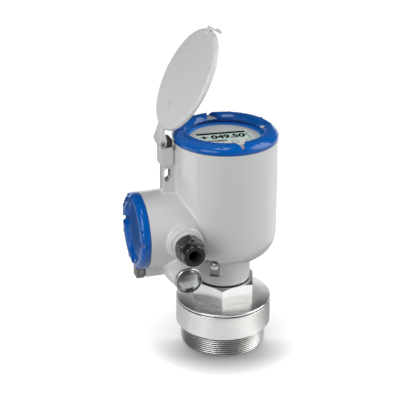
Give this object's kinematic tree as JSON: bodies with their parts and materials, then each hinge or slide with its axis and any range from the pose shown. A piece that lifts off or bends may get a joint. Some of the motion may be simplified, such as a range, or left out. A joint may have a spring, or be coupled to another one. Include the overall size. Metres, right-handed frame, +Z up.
{
  "type": "radar level transmitter",
  "caption": "Two-compartment cast transmitter housing with blue screw covers, hinged weather hood, cable gland and swivel neck on a threaded steel process connection.",
  "frame": {"origin": "centre of the lower end of the process thread", "axes": "+Z up the main axis, -X along the terminal compartment, -Y out of the cable entries"},
  "size_m": [0.149, 0.1248, 0.3367],
  "materials": {
    "stainless": "fine turned",
    "stainless_bright": "milled, satin",
    "peek": "matte",
    "rubber_black": "matte",
    "cast_grey": "fine cast, satin",
    "cover_blue": "gloss",
    "window_glass": "clear",
    "ring_dark": "matte",
    "module_dark": "matte",
    "faceplate": "satin",
    "lcd_green": "smooth",
    "block_green": "matte",
    "zinc": "zinc plated",
    "sheet_grey": "satin",
    "steel_dark": "dark, satin",
    "gland_black": "satin",
    "nickel": "nickel plated",
    "lock_grey": "satin"
  },
  "bodies": {
    "base": {"process_connection": "stainless", "lens_antenna": "peek", "lens_seal": "rubber_black", "flange_gasket": "rubber_black", "hex_adapter": "stainless_bright", "waveguide": "stainless_bright", "spigot_seal": "rubber_black", "retaining_ring": "zinc", "wiper_seal": "rubber_black"},
    "housing": {"housing_body": "cast_grey", "sensor_module": "module_dark", "cable_feedthrough": "module_dark", "display_carrier": "faceplate", "display_screws": "zinc", "lcd_panel": "lcd_green", "terminal_block": "block_green", "terminal_screws": "zinc", "hinge_bracket": "sheet_grey", "bracket_screws": "zinc", "hinge_block": "steel_dark", "hinge_pin": "zinc", "gland_gasket": "rubber_black", "gland_body": "gland_black", "neck_screw": "zinc"},
    "hood": {"hood": "sheet_grey", "hood_catch": "zinc"},
    "display_seal": {"display_cover_seal": "rubber_black"},
    "display_cover": {"display_cover": "cover_blue", "display_window": "window_glass", "window_gasket": "rubber_black", "window_ring": "ring_dark"},
    "terminal_seal": {"terminal_cover_seal": "rubber_black"},
    "terminal_cover": {"terminal_cover": "cover_blue"},
    "gland_insert": {"gland_seal": "rubber_black"},
    "gland_nut": {"gland_nut": "gland_black"},
    "plug_washer": {"plug_seal": "rubber_black"},
    "blind_plug": {"blind_plug": "nickel"},
    "ground_clamp": {"ground_clamp": "zinc"},
    "ground_screw": {"ground_screw": "zinc"},
    "cover_lock": {"cover_lock": "lock_grey", "lock_screw": "zinc"}
  },
  "joints": [
    {"name": "housing_swivel", "type": "hinge", "parent": "base", "child": "housing", "pos_m": [0, 0, 0.083], "axis": [0, 0, 1], "range_deg": [-175, 175]},
    {"name": "hood_hinge", "type": "hinge", "parent": "housing", "child": "hood", "pos_m": [-0.0658, 0, 0.226], "axis": [0, -1, 0], "range_deg": [-61, 55]},
    {"name": "display_cover_lift", "type": "slide", "parent": "housing", "child": "display_seal", "axis": [0, 0, 1], "range_m": [0, 0.0081]},
    {"name": "display_cover_turn", "type": "hinge", "parent": "display_seal", "child": "display_cover", "pos_m": [0, 0, 0.228], "axis": [0, 0, 1], "range_deg": [0, 1440]},
    {"name": "terminal_cover_out", "type": "slide", "parent": "housing", "child": "terminal_seal", "axis": [-1, 0, 0], "range_m": [0, 0.0081]},
    {"name": "terminal_cover_turn", "type": "hinge", "parent": "terminal_seal", "child": "terminal_cover", "pos_m": [-0.09, 0, 0.1345], "axis": [-1, 0, 0], "range_deg": [0, 1440]},
    {"name": "gland_nut_out", "type": "slide", "parent": "housing", "child": "gland_insert", "axis": [0, -1, 0], "range_m": [0, 0.0046]},
    {"name": "gland_nut_turn", "type": "hinge", "parent": "gland_insert", "child": "gland_nut", "pos_m": [-0.0535, -0.065, 0.1345], "axis": [0, -1, 0], "range_deg": [0, 1080]},
    {"name": "blind_plug_out", "type": "slide", "parent": "housing", "child": "plug_washer", "axis": [0, -1, 0], "range_m": [0, 0.0091]},
    {"name": "blind_plug_turn", "type": "hinge", "parent": "plug_washer", "child": "blind_plug", "pos_m": [-0.0535, -0.048, 0.0994], "axis": [0, -1, 0], "range_deg": [0, 2160]},
    {"name": "ground_clamp_out", "type": "slide", "parent": "housing", "child": "ground_clamp", "axis": [-0.5592, -0.829, 0], "range_m": [0, 0.0021]},
    {"name": "ground_screw_turn", "type": "hinge", "parent": "ground_clamp", "child": "ground_screw", "pos_m": [-0.01901, -0.02819, 0.098], "axis": [-0.5592, -0.829, 0], "range_deg": [0, 1081]},
    {"name": "cover_lock_slide", "type": "slide", "parent": "housing", "child": "cover_lock", "axis": [0, 0, -1], "range_m": [0, 0.003]}
  ],
  "couplings": [
    {"joint": "display_cover_lift", "follows": "display_cover_turn", "m_per_rad": 0.00031831},
    {"joint": "terminal_cover_out", "follows": "terminal_cover_turn", "m_per_rad": 0.00031831},
    {"joint": "gland_nut_out", "follows": "gland_nut_turn", "m_per_rad": 0.00023873},
    {"joint": "blind_plug_out", "follows": "blind_plug_turn", "m_per_rad": 0.00023873},
    {"joint": "ground_screw_turn", "follows": "ground_clamp_out", "rad_per_m": 8976}
  ]
}
